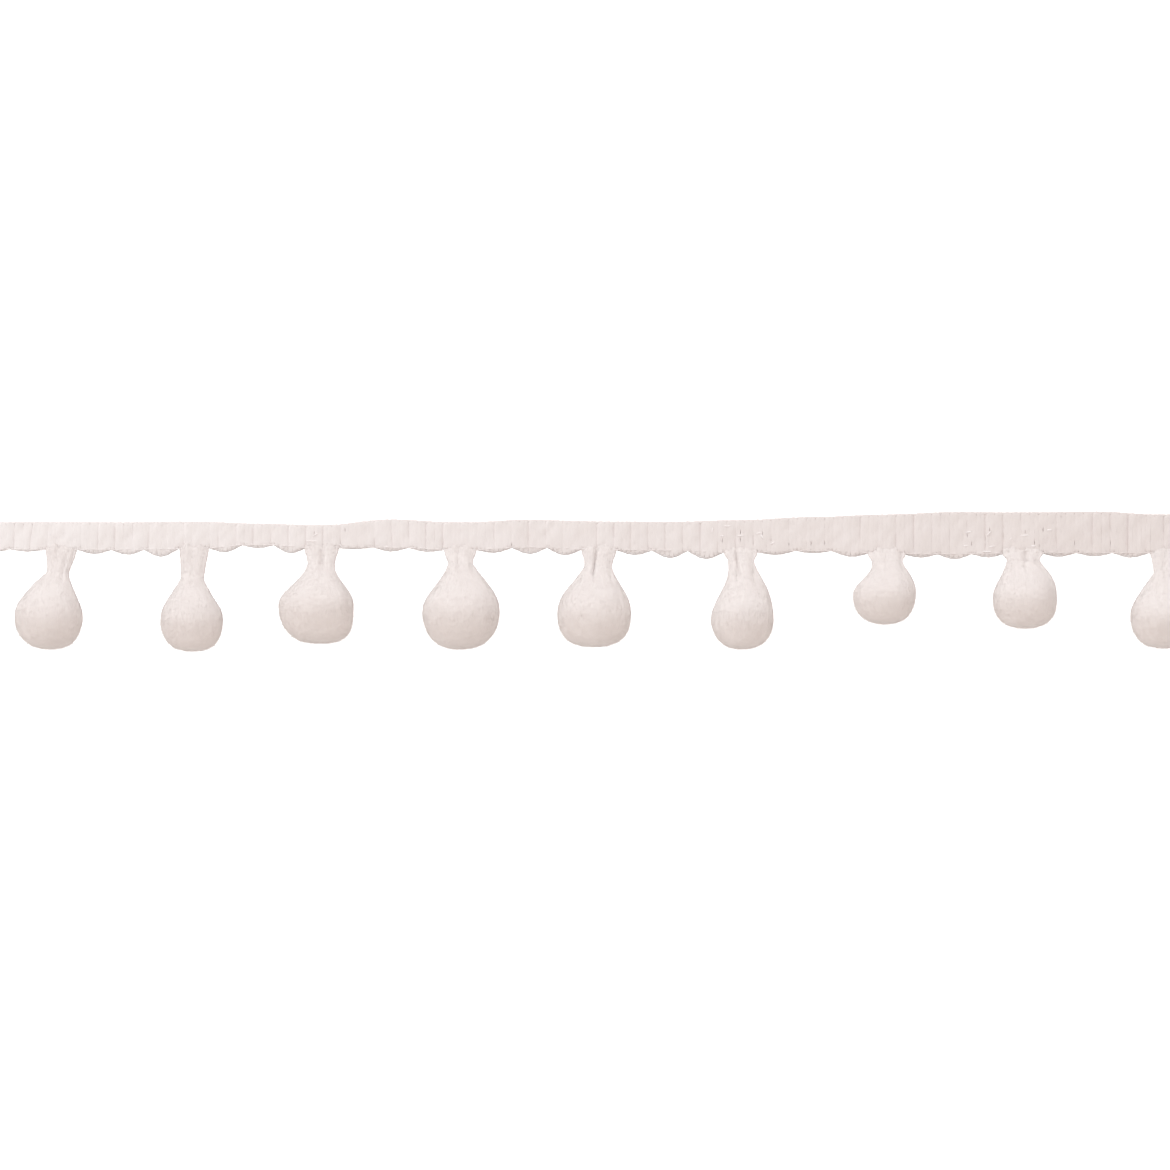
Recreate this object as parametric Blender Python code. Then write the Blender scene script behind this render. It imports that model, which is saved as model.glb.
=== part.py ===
"""Pompom fringe trim: a scalloped header tape with nine pompoms, each on a soft doubled tie.

The trim lies face up on the plane z = 0. +X runs along it, +Y points from the pompoms to the
tape, and the origin is at the middle of the whole trim's footprint. Lengths are in metres.
"""

import math
from collections import namedtuple

import bmesh
import bpy

MM = 0.001

# ---- the trim -----------------------------------------------------------------------------------
LENGTH = 180.0 * MM  # from cut end to cut end
GAP = 0.3 * MM  # left between pieces that touch on the real trim
SHARP_OVER = math.radians(45)  # faces that meet at a flatter angle are shaded as one surface

# ---- the header tape ----------------------------------------------------------------------------
TAPE_THICKNESS = 1.2 * MM
EDGE_HEIGHT = 0.7 * MM  # where the tape's side walls end and its rounded shoulders start
EDGE_ROUNDING = 0.45 * MM  # how far the shoulders reach in over the tape's face
SCALLOPS_PER_BAY = 3  # small loops between one tie and the next
SCALLOP_STEPS = 6  # outline points along each scallop
SCALLOP_POINTEDNESS = 1.2  # 1 is an even arch, and more draws its ends in
CLOSEST_STATIONS = 0.1 * MM  # outline points nearer than this are made one

# ---- the ties -----------------------------------------------------------------------------------
TIE_ON_TAPE = 1.3 * MM  # how far a tie runs up over the tape's face
TIE_THICKNESS_ON_TAPE = 1.5 * MM  # at the tape's lower edge
TIE_THICKNESS_AT_END = 0.8 * MM  # where its strands go into the tape's face
TIE_FLARE = 0.3 * MM  # how far the strands spread at each side on the tape
TIE_RINGS = 6
TIE_SIDES = 16

# ---- the pompoms --------------------------------------------------------------------------------
FLAT_SPOT = 0.15 * MM  # how much of a pompom's underside is pressed flat where it rests
NECK_FLATNESS = 0.62  # a neck's height as a share of its width
END_RINGS = 7  # from the round end to the widest section
END_RING_SHARE = 0.4  # where the first of them lies, as a share of the step to the second
SHOULDER_RINGS = 7  # from there to the neck
POMPOM_SIDES = 20

# One row for each pompom, in millimetres. x, y: the middle of its widest section. width: across
# that section. end_x, end_y: its lowest point. fullness: how square that end is, 2 being round.
# shoulder: the length of its taper to the neck. taper: 1 for a straight-sided taper, less for a
# rounder one. sway: how far the taper bulges sideways. neck: the width of its tie. tie_x: where the
# tie meets the tape.
Pompom = namedtuple("Pompom", "x y width end_x end_y fullness shoulder taper sway neck tie_x")
POMPOMS = (
    Pompom(-79.9, -5.0, 9.8, -79.6, -9.85, 2.4, 6.2, 0.65, -0.25, 3.7, -78.4),
    Pompom(-59.4, -5.5, 9.0, -59.3, -10.10, 2.7, 5.9, 0.65, -0.20, 3.5, -59.3),
    Pompom(-41.5, -3.3, 10.8, -40.8, -8.95, 3.0, 5.8, 1.00, 0.05, 4.1, -40.9),
    Pompom(-20.8, -4.4, 11.1, -20.9, -9.85, 2.3, 6.9, 0.65, 0.30, 3.8, -21.0),
    Pompom(-1.7, -4.5, 10.8, -1.7, -9.45, 2.7, 6.6, 0.65, -0.15, 4.2, -1.0),
    Pompom(19.5, -5.5, 9.0, 19.5, -9.85, 2.4, 8.4, 0.90, 0.55, 3.9, 19.4),
    Pompom(39.9, -2.0, 9.1, 39.9, -6.25, 2.4, 4.8, 0.80, 0.40, 4.6, 40.4),
    Pompom(60.0, -2.5, 9.4, 60.1, -6.85, 2.5, 5.5, 0.60, 0.30, 4.9, 60.0),
    Pompom(80.0, -5.0, 9.8, 79.9, -9.70, 2.4, 6.2, 0.65, -0.15, 3.9, 80.7),
)

# The tape's two edges, in millimetres, at its left end, then at each tie and halfway to the next,
# and at its right end. base: the line that the scallops hang from.
Edge = namedtuple("Edge", "base top")
TAPE_EDGES = (
    Edge(4.60, 8.60),
    Edge(4.50, 8.65),
    Edge(4.50, 8.60),
    Edge(4.60, 8.70),
    Edge(5.25, 8.40),
    Edge(4.70, 8.15),
    Edge(4.85, 9.00),
    Edge(4.40, 8.55),
    Edge(4.85, 8.95),
    Edge(4.50, 8.70),
    Edge(4.40, 8.65),
    Edge(4.05, 8.90),
    Edge(4.40, 9.35),
    Edge(3.90, 9.70),
    Edge(3.85, 10.05),
    Edge(4.05, 10.00),
    Edge(4.05, 10.10),
    Edge(4.00, 9.65),
    Edge(4.00, 10.00),
)

# How far each scallop hangs below the base line, in millimetres, bay by bay from the left end's
# half bay to the right end's.
SCALLOP_REACHES = (
    (0.50, 0.45, 0.30),
    (0.60, 0.70, 1.05),
    (0.75, 0.50, 0.95),
    (0.15, 0.60, 0.40),
    (0.55, 0.95, 0.95),
    (0.70, 1.10, 1.05),
    (0.45, 0.40, 0.65),
    (0.50, 0.70, 0.55),
    (0.55, 0.50, 0.65),
    (0.50, 0.60, 0.45),
)

CREAM = (0.80, 0.72, 0.68, 1.0)
FINISHES = {  # material name: colour and roughness
    "tape yarn": (CREAM, 0.85),
    "tie yarn": (CREAM, 0.85),
    "pompom pile": (CREAM, 0.95),
}


def clear_scene():
    for thing in list(bpy.data.objects):
        bpy.data.objects.remove(thing, do_unlink=True)


def finish(name):
    """The named material, made the first time it is asked for."""
    material = bpy.data.materials.get(name)
    if material is None:
        colour, roughness = FINISHES[name]
        material = bpy.data.materials.new(name)
        material.use_nodes = True
        shader = material.node_tree.nodes["Principled BSDF"]
        shader.inputs["Base Color"].default_value = colour
        shader.inputs["Roughness"].default_value = roughness
        shader.inputs["Metallic"].default_value = 0.0
    return material


def ease(share):
    """Runs smoothly from 0 to 1 as share does."""
    return 0.5 - 0.5 * math.cos(math.pi * min(max(share, 0.0), 1.0))


def blend(start, end, share):
    return start + (end - start) * share


# ---- the tape's outline -------------------------------------------------------------------------
def tie_places():
    return [pompom.tie_x * MM for pompom in POMPOMS]


def edge_places():
    """The x of each row of TAPE_EDGES."""
    ties = tie_places()
    places = [-LENGTH / 2, ties[0]]
    for left, right in zip(ties, ties[1:]):
        places += [(left + right) / 2, right]
    return places + [LENGTH / 2]


def tape_edge(x):
    """The tape's base line and top edge at x."""
    places = edge_places()
    row = max(i for i, place in enumerate(places[:-1]) if place <= x or i == 0)
    share = ease((x - places[row]) / (places[row + 1] - places[row]))
    here, following = TAPE_EDGES[row], TAPE_EDGES[row + 1]
    return (
        blend(here.base, following.base, share) * MM,
        blend(here.top, following.top, share) * MM,
    )


def scallop_spans():
    """(left, right, reach) of each scallop: every bay holds a tie's width, then its scallops."""
    ties = tie_places()
    pitch = (ties[-1] - ties[0]) / (len(ties) - 1)
    centres = [ties[0] - pitch] + ties + [ties[-1] + pitch]
    spans = []
    for left, right, reaches in zip(centres, centres[1:], SCALLOP_REACHES):
        step = (right - left) / (SCALLOPS_PER_BAY + 1)
        for k, reach in enumerate(reaches):
            start = left + (k + 0.5) * step
            spans.append((start, start + step, reach * MM))
    return spans


def scallop_drop(x, spans):
    """How far the tape hangs below its base line at x."""
    for left, right, reach in spans:
        if left <= x <= right:
            arch = max(math.sin(math.pi * (x - left) / (right - left)), 0.0)
            return reach * arch**SCALLOP_POINTEDNESS
    return 0.0


def tape_stations(spans):
    """The places along the trim where the tape's outline has a point."""
    places = {-LENGTH / 2, LENGTH / 2}
    for left, right, _ in spans:
        places.update(blend(left, right, k / SCALLOP_STEPS) for k in range(SCALLOP_STEPS + 1))
    inside = sorted(x for x in places if abs(x) <= LENGTH / 2)
    return [x for x, last in zip(inside, [-LENGTH] + inside) if x - last > CLOSEST_STATIONS]


# ---- shapes -------------------------------------------------------------------------------------
def loft(name, rings, material):
    """A closed solid through rings of points, each ring in the same order, with flat ends."""
    mesh = bpy.data.meshes.new(name)
    bm = bmesh.new()
    made = [[bm.verts.new(point) for point in ring] for ring in rings]
    for ring, following in zip(made, made[1:]):
        for i, corner in enumerate(ring):
            j = (i + 1) % len(ring)
            bm.faces.new((corner, ring[j], following[j], following[i]))
    bm.faces.new(made[0])
    bm.faces.new(list(reversed(made[-1])))
    bmesh.ops.recalc_face_normals(bm, faces=bm.faces)
    bm.to_mesh(mesh)
    bm.free()
    mesh.materials.append(finish(material))
    solid = bpy.data.objects.new(name, mesh)
    bpy.context.scene.collection.objects.link(solid)
    return solid


def shade_round(solid):
    solid.data.shade_smooth()
    solid.data.set_sharp_from_angle(angle=SHARP_OVER)


def press_flat(solid):
    """Lowers a solid by FLAT_SPOT into z = 0 and cuts it off flat there."""
    bm = bmesh.new()
    bm.from_mesh(solid.data)
    lowest = min(vert.co.z for vert in bm.verts)
    bmesh.ops.translate(bm, vec=(0.0, 0.0, -lowest - FLAT_SPOT), verts=bm.verts)
    everything = bm.verts[:] + bm.edges[:] + bm.faces[:]
    cut = bmesh.ops.bisect_plane(
        bm, geom=everything, plane_co=(0, 0, 0), plane_no=(0, 0, 1), clear_inner=True
    )
    rim = [item for item in cut["geom_cut"] if isinstance(item, bmesh.types.BMEdge)]
    bmesh.ops.contextual_create(bm, geom=rim)
    bmesh.ops.recalc_face_normals(bm, faces=bm.faces)
    bm.to_mesh(solid.data)
    bm.free()


def header_tape():
    spans = scallop_spans()
    rings = []
    for x in tape_stations(spans):
        base, top = tape_edge(x)
        low = base - scallop_drop(x, spans)
        rings.append(
            (
                (x, low, 0.0),
                (x, low, EDGE_HEIGHT),
                (x, low + EDGE_ROUNDING, TAPE_THICKNESS),
                (x, top - EDGE_ROUNDING, TAPE_THICKNESS),
                (x, top, EDGE_HEIGHT),
                (x, top, 0.0),
            )
        )
    shade_round(loft("header_tape", rings, "tape yarn"))


def pompom_radius(pompom, y):
    """Half the pompom's width at y, from its far end to where its neck starts."""
    widest, neck = pompom.width * MM / 2, pompom.neck * MM / 2
    middle = pompom.y * MM
    if y < middle:
        share = min((middle - y) / (middle - pompom.end_y * MM), 1.0)
        return widest * (1.0 - share**pompom.fullness) ** (1.0 / pompom.fullness)
    falling = 1.0 - ease((y - middle) / (pompom.shoulder * MM))
    return neck + (widest - neck) * falling**pompom.taper


def axis_point(pompom, y):
    """The middle of the section at y: the axis leans over to the tie and comes down to the tape."""
    middle = pompom.y * MM
    base, _ = tape_edge(pompom.tie_x * MM)
    if y < middle:
        share = (middle - y) / (middle - pompom.end_y * MM)
        return blend(pompom.x, pompom.end_x, share**2) * MM, pompom.width * MM / 2
    share = (y - middle) / (base - middle)
    bulge = pompom.sway * MM * math.sin(math.pi * min(share, 1.0)) ** 2
    on_tape = TAPE_THICKNESS + GAP + TIE_THICKNESS_ON_TAPE / 2
    return (
        blend(pompom.x, pompom.tie_x, ease(share)) * MM + bulge,
        blend(pompom.width * MM / 2, on_tape, ease(share)),
    )


def section(x, y, z, half_width, half_height, sides):
    """An upright elliptical ring of points in the plane at y."""
    turns = [2 * math.pi * k / sides for k in range(sides)]
    return [(x + half_width * math.cos(turn), y, z + half_height * math.sin(turn)) for turn in turns]


def pompom_solid(number, pompom):
    """A soft pear shape, lying down, its rings closer together near its round end."""
    middle, end = pompom.y * MM, pompom.end_y * MM
    turns = [math.pi / 2 * (k + END_RING_SHARE) / END_RINGS for k in range(END_RINGS)]
    places = [middle - (middle - end) * math.cos(turn) for turn in turns]
    places += [middle + pompom.shoulder * MM * k / SHOULDER_RINGS for k in range(SHOULDER_RINGS + 1)]
    rings = []
    for y in places:
        x, z = axis_point(pompom, y)
        radius = pompom_radius(pompom, y)
        flattened = blend(1.0, NECK_FLATNESS, ease((y - middle) / (pompom.shoulder * MM)))
        rings.append(section(x, y, z, radius, radius * flattened, POMPOM_SIDES))
    solid = loft(f"bobble_{number}", rings, "pompom pile")
    press_flat(solid)
    shade_round(solid)


def tie_solid(number, pompom):
    """The doubled strands, from just clear of the pompom's neck up onto the tape's face."""
    base, _ = tape_edge(pompom.tie_x * MM)
    start = pompom.y * MM + pompom.shoulder * MM + GAP
    end = base + TIE_ON_TAPE
    neck, on_tape, at_end = pompom.neck * MM / 2, TIE_THICKNESS_ON_TAPE / 2, TIE_THICKNESS_AT_END / 2
    at_neck = neck * NECK_FLATNESS
    rings = []
    for k in range(TIE_RINGS):
        y = blend(start, end, k / (TIE_RINGS - 1))
        x, z = axis_point(pompom, y)
        reached = ease((y - start) / (base - GAP - start))
        if y <= base:
            half_height = blend(at_neck, on_tape, reached)
        else:
            half_height = blend(on_tape, at_end, ease((y - base) / TIE_ON_TAPE))
            z = TAPE_THICKNESS + GAP + half_height
        rings.append(section(x, y, z, neck + TIE_FLARE * reached, half_height, TIE_SIDES))
    shade_round(loft(f"tie_{number}", rings, "tie yarn"))


def main():
    clear_scene()
    header_tape()
    for number, pompom in enumerate(POMPOMS, start=1):
        pompom_solid(number, pompom)
        tie_solid(number, pompom)


main()
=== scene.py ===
import math
import random
from collections import namedtuple

import bpy
import numpy as np
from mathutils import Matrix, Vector, noise


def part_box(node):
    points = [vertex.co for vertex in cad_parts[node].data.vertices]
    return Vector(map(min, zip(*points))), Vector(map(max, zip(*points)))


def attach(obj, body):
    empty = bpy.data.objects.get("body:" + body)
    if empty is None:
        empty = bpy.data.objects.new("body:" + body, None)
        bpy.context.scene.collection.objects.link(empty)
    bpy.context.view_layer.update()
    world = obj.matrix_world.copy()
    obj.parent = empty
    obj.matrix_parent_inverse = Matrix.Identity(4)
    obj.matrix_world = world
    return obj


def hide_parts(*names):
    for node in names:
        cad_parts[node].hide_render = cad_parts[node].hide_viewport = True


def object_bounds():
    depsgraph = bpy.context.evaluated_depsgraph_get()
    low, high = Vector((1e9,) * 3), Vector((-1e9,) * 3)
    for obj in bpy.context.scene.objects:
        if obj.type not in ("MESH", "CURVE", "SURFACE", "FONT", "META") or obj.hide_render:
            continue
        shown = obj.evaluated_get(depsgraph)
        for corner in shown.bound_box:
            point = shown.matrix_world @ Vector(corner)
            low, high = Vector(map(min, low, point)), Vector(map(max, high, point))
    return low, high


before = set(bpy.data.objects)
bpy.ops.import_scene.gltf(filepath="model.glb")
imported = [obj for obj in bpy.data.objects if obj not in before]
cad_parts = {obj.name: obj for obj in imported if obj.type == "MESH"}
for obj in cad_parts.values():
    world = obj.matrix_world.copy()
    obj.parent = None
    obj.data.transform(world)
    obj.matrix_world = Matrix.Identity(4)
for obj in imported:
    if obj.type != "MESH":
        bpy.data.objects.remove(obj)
cad_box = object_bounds()

MM = 0.001
TINY = 0.001 * MM
RIB_SEED, STITCH_SEED, PICOT_SEED, SELVAGE_SEED, TAPE_PILE_SEED = 11, 4, 5, 6, 501

# ---- The trim's own measures ----
POMPOM_COUNT = 9
RIBS_IN_GROUP = 2
EDGE_BAND = 1.2 * MM

# ---- The soft strands of each tie, in millimetres ----
# top_x: where the strand comes out of the tape's face; low_x: where it has sunk into the pompom;
# low_y: the level at which it has sunk in; width: its own width.
Strand = namedtuple("Strand", "tie top_x low_x low_y width")
STRANDS = (
    Strand(1, -79.6, -80.4, 0.3, 1.50),
    Strand(1, -77.9, -79.0, 0.5, 1.70),
    Strand(1, -76.9, -77.6, 0.6, 0.80),
    Strand(2, -60.4, -60.4, 0.0, 1.70),
    Strand(2, -58.5, -58.6, 0.2, 2.00),
    Strand(3, -42.0, -42.2, 2.2, 1.90),
    Strand(3, -39.8, -39.7, 2.0, 1.55),
    Strand(4, -22.0, -22.3, 2.0, 1.50),
    Strand(4, -20.2, -20.3, 2.2, 1.90),
    Strand(5, -2.35, -2.75, 1.2, 1.50),
    Strand(5, -0.05, -0.60, 0.6, 2.10),
    Strand(6, 17.95, 17.90, 0.9, 1.15),
    Strand(6, 20.05, 19.90, 0.5, 2.15),
    Strand(7, 39.2, 39.0, 2.4, 2.20),
    Strand(7, 41.5, 41.3, 2.2, 2.10),
    Strand(8, 58.7, 58.8, 2.4, 2.15),
    Strand(8, 61.4, 61.2, 2.4, 1.90),
    Strand(9, 79.6, 79.3, 1.0, 1.60),
    Strand(9, 81.6, 81.2, 1.0, 2.00),
)
# The openings between strands: each runs from its top down to its low end.
Opening = namedtuple("Opening", "tie top_x top_y low_x low_y width depth")
OPENINGS = (
    Opening(3, -40.9, 4.7, -40.9, 2.6, 0.60, 0.15),
    Opening(5, -1.30, 4.9, -2.05, 0.8, 0.40, 0.28),
    Opening(6, 18.75, 4.4, 18.95, 0.8, 0.38, 0.25),
    Opening(7, 42.35, 4.5, 42.50, 2.2, 0.40, 0.20),
    Opening(8, 60.35, 4.6, 60.45, 2.9, 0.60, 0.30),
)

# ---- Gaps between the tape's ribs, and the short stitches that show on them, in millimetres ----
PINHOLES = (
    (-42.1, 7.0), (-39.0, 4.9), (-38.3, 5.7), (-37.4, 7.4), (-33.3, 5.6), (-23.4, 5.5),
    (-13.5, 5.4), (16.7, 5.9), (19.4, 6.0), (19.5, 7.1), (20.9, 6.3), (21.0, 5.5),
    (22.8, 6.9), (23.6, 5.9), (26.5, 5.3), (29.6, 5.5), (31.7, 5.5), (52.0, 6.6),
    (52.5, 5.4), (54.8, 6.2), (54.8, 5.2), (55.1, 7.4), (57.2, 6.6), (60.2, 7.1),
    (61.6, 5.5), (62.6, 5.1), (62.8, 7.4), (67.5, 5.5), (72.7, 5.5),
)
Dash = namedtuple("Dash", "x y length turn")
DASHES = (
    Dash(-42.3, 5.82, 1.9, 0.0),
    Dash(-41.8, 6.72, 0.8, 30.0),
    Dash(-38.1, 5.08, 0.9, -45.0),
    Dash(15.3, 7.41, 0.7, 80.0),
    Dash(16.7, 6.55, 0.6, 10.0),
    Dash(17.5, 7.96, 1.1, 0.0),
    Dash(19.4, 6.59, 1.1, 5.0),
    Dash(22.0, 6.95, 0.8, 10.0),
    Dash(22.5, 6.40, 0.9, -50.0),
    Dash(24.0, 5.54, 0.8, 25.0),
    Dash(51.8, 5.16, 0.8, 0.0),
    Dash(52.2, 7.12, 0.9, 10.0),
    Dash(54.8, 4.30, 1.3, 0.0),
    Dash(55.1, 6.91, 0.9, 50.0),
    Dash(55.6, 5.04, 0.9, 10.0),
    Dash(58.2, 6.13, 0.6, 45.0),
    Dash(60.3, 6.63, 1.4, 0.0),
    Dash(61.5, 5.10, 0.9, 0.0),
    Dash(63.8, 7.40, 0.8, 0.0),
)
# Where the ribs lean: the middle of the stretch along x, its reach and how far the tops lean.
LEANS = ((-82.0, 2.6, 0.45), (-66.9, 2.2, 0.40), (-30.0, 2.5, -0.15), (34.0, 3.0, 0.18))
# The ribs lie in groups with a deeper groove after each; the groups' number up to each place.
GROUP_MARKS = (
    (-90.0, 0), (-73.1, 7), (-65.8, 10), (-38.2, 21), (8.5, 40), (26.3, 47), (80.3, 68), (90.0, 72)
)

# ---- The shape of the pompoms and ties ----
VOXEL, SMOOTHING = 0.165 * MM, 60
# The points of a solid within one step of y are one ring, if there are more than this many.
RING_STEP, RING_POINTS = 0.02 * MM, 30
# A piece's profile is read in these steps. Its own, its neck's and its ball's are softened by
# these amounts.
PROFILE_STEP = 0.2 * MM
OWN_SOFTNESS, NECK_SOFTNESS, BALL_SOFTNESS = 0.3 * MM, 0.7 * MM, 1.4 * MM
# The ball's softness starts this far below the seam, and comes in over this stretch.
BALL_FROM, BALL_EASE = 0.5 * MM, 2.0 * MM
# The shoulder's extra height, and its middle and reach in ball radii above the widest ring.
SHOULDER_RISE, SHOULDER_MIDDLE, SHOULDER_REACH = 0.5 * MM, 0.6, 0.42
# The outline is given back from this many ball radii below the widest ring, over this many.
OUTLINE_BELOW, OUTLINE_EASE = 0.8, 0.6
THINNEST, STRETCH_LIMITS = 0.3 * MM, (0.85, 1.15)
# A tie lies on the tape for its last stretch, and its lower end is drawn down into the pompom.
TIE_ON_TAPE, TIE_DRAWN_DOWN = 1.3 * MM, 1.1 * MM
# The neck comes down from this far below the seam. Its heights are given at the seam and at three
# steps from the tape's lower edge.
NECK_START = 2.6 * MM
NECK_STEPS = (-0.4 * MM, 0.3 * MM, TIE_ON_TAPE)
NECK_TOPS = (2.8 * MM, 1.72 * MM, 1.42 * MM, 1.02 * MM)
NECK_BOTTOMS = (0.9 * MM, 0.35 * MM, 0.2 * MM, 0.2 * MM)
# The strands widen a little at the tape's edge, and their ends are ragged.
FLARE, FLARE_REACH, FLARE_PAST = 0.07, 0.8 * MM, 0.1 * MM
RAGGED_DEPTH, RAGGED_SIZE, RAGGED_EASE = 0.5 * MM, 0.8 * MM, 0.5 * MM
# Where a tie and its pompom part, the tie's end goes in under the pompom's surface.
TUCK, TUCK_DEPTH = 0.7 * MM, 0.18 * MM

# ---- The surface of the pompoms and ties ----
NECK_SKIN, END_SKIN = -0.03 * MM, -0.12 * MM
LUMP_DEPTH, LUMP_SIZE = 0.16 * MM, 3.4 * MM
STREAK_DEPTH, STREAK_LENGTH, STREAKS_AROUND = 0.05 * MM, 6.0 * MM, 5.0
GRAIN_DEPTH, GRAIN_SIZE = 0.03 * MM, 0.5 * MM
# The cut end's surface comes in over this many ball radii, this share of it above the widest ring.
END_REACH, END_SHARE = 0.9, 0.35
# Lumps begin where the piece has this share of the ball's width, and come in over this share.
LUMPS_FROM, LUMPS_EASE = 0.35, 0.4
STREAKS_LOST, GRAIN_AT_NECK = 0.75, 0.35
# Each pompom reads its noise this far on from the last.
NOISE_STEPS = (7.3, 3.1, 5.7)
# How far the roundness of a strand and the slope of an opening reach, in their own widths.
STRAND_DEPTH, STRAND_REACH, OPENING_REACH = 0.30 * MM, 0.58, 0.55
# Strands begin this far below their low end and come in over this stretch, in millimetres.
STRANDS_FROM, STRANDS_EASE = 1.8, 2.6
# Their relief is lost on what faces sideways, and from this share of the way to the outline.
RELIEF_FACING, RELIEF_TO, RELIEF_EASE = 1.4, 0.72, 0.25
# The painted shade, darker and warmer towards a pompom's cut end, comes in over this many ball radii
# each side of the widest ring.
BALL_SHADE_REACH = 0.6
SOFT_ANGLE, YARN_ANGLE = math.radians(45.0), math.radians(50.0)

# ---- Pile: the densities are fibres to the square millimetre ----
HAIR_ROOT, HAIR_RADIUS = 0.06 * MM, 0.012 * MM
HAIR_STRAY, HAIR_SIZES = 0.22, (0.6, 1.15)
SOFT_HAIR, SOFT_DENSITY = 0.36 * MM, 44.0
TAPE_HAIR, TAPE_DENSITY = 0.28 * MM, 4.0
# How much the soft fibres stand up at the neck and at the cut end, and everywhere besides. They
# have risen by RISE_SHARE on the widest ring, and by RISE_REACH more one ball radius below it.
NECK_RISE, END_RISE, MORE_RISE = 0.10, 0.85, 0.12
RISE_REACH, RISE_SHARE = 0.75, 0.25
# The tape's fibres stand up by this much, and lie this way on what faces up the tape.
TAPE_RISE, TAPE_LAY = 0.5, (0.15, 0.5, 0.0)
# No fibres grow on what faces down more than this, or on these stretches about the seam.
UNDERNEATH = -0.75
BODY_BARE, STRANDS_BARE = (-0.02 * MM, 1.0 * MM), (-1.0 * MM, -0.1 * MM)

# ---- The tape's ribs ----
RIB_TOP, RIB_LOW = 1.18 * MM, 0.06 * MM
LEG_RADIUS, LEG_STEP, LEG_STEPS_LEAST = 0.47 * MM, 0.31 * MM, 6
LEG_TIP, LEG_TIP_SIZE, LEG_END_SIZES = 0.12 * MM, 0.45, (0.84, 0.96, 1.0)
# How far inside the tape's lower and upper edges the middle of the weft yarn ends.
LOWER_INSET, UPPER_INSET = 0.26 * MM, 0.09 * MM
# The two legs of a rib stand this share of its width either side of its middle, and turn round at
# the upper edge in a bow of this height and size.
LEG_APART, BOW_HEIGHT, BOW_SIZE = 0.25, 0.55, 0.9
BOW_ANGLES = (math.pi * 0.75, math.pi * 0.5, math.pi * 0.25)
# The whole range of each rib's and leg's unevenness.
RIB_STRAY, LEAN_STRAY, APART_STRAY, SWAY = 0.03 * MM, 0.06 * MM, 0.02 * MM, 0.06 * MM
LEG_THICKNESS, THICKNESS_STRAY = 0.985, 0.04
LEG_WAVE, LEG_WAVES, LEG_PHASES = 0.03, 5.4, 6.0
# Legs thin and sink towards the back past the fine thread along the base of the scallops.
THREAD_PAST, SINK, SINK_EASE, SUNK_THINNING = 0.10 * MM, 0.08 * MM, 0.6 * MM, 0.08
# A gap between ribs pushes the legs apart and thins them, and is felt within these millimetres.
GAP_WIDTH, GAP_HEIGHT, GAP_PUSH, GAP_THINNING = 0.5, 0.30, 0.09 * MM, 0.12
GAP_FELT_ACROSS, GAP_FELT_ALONG = 1.5, 1.2
# Ribs lean about this level of y, by their lean for every LEAN_REACH above it.
LEAN_LEVEL, LEAN_REACH = 7.0 * MM, 5.0 * MM

# ---- The tape's face ----
# How far each groove reaches, and the sizes across and along the tape of what varies over it.
GROUP_GROOVE, RIB_GROOVE, BROAD_GROOVE = 0.32 * MM, 0.26 * MM, 0.5 * MM
GROOVE_SIZE, PATCH_SIZE, SLANT_SIZE = (0.9 * MM, 5.0 * MM), (3.5 * MM, 6.0 * MM), (1.1 * MM, 2.0 * MM)
SLANT = 0.5
# How strong the grooves between groups and between ribs are, how much that varies, and the least.
STRONG, STRONG_VARIES, STRONG_LEAST = 0.4, 0.85, 0.1
FAINT, FAINT_VARIES = 0.15, 0.4
# The roundness that is left on the face, and how much the patches change it.
ROUND_LEFT, ROUND_VARIES, ROUND_EDGE = 0.06, 0.05, 0.8 * MM
# The face sinks by this, evenly, in patches and on the slant, and more towards the left-hand end.
BROAD_DEPTH, EVEN_SINK, PATCH_SINK = 0.14 * MM, 0.2, 0.5
SLANT_SINK, SLANT_MORE, MORE_FROM, MORE_EASE = 0.85, 0.25, -45.0 * MM, 20.0 * MM

# ---- The tape's other yarns ----
YARN_SIDES = 2
PICOT_RADIUS, PICOT_HEIGHT = 0.25 * MM, 0.66 * MM
SELVAGE_RADIUS, SELVAGE_INSET, SELVAGE_HEIGHT = 0.22 * MM, 0.23 * MM, 0.80 * MM
EDGE_STEPS, EDGE_WAVE, EDGE_WAVES = 900, 0.02 * MM, 5.9
WARP_RADIUS, WARP_STEPS, WARP_DEPTH = 0.10 * MM, 8, 0.12 * MM
WARP_WAVE, WARP_WAVES = 0.03 * MM, 0.37
GROUND_INSET, GROUND_LOW, GROUND_FLATNESS = 0.18 * MM, 0.2 * MM, 0.48
STITCH_LENGTH, STITCH_FLATNESS, STITCH_ARCH = 1.0 * MM, 0.20, 0.10 * MM
STITCH_WIDTH, STITCH_STRAY, STITCH_TURN = 0.9, 0.2, 6.0

# ---- Finishes: patches and fibre lines to the metre, and colours ----
SHEEN, SHEEN_ROUGHNESS, SPECULAR = 0.35, 0.6, 0.25
PATCHINESS, FINENESS, RELIEF = 350.0, 6000.0, 0.02 * MM
# Painted shade: the pompoms' colour is multiplied by this darker, warmer tint towards their cut end.
BALL_SHADE_TINT = (0.96, 0.935, 0.915, 1)
FAR_END = (0.885, 0.855, 0.84, 1)
FLOOR_COLOUR = (0.89, 0.865, 0.855, 1)

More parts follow.
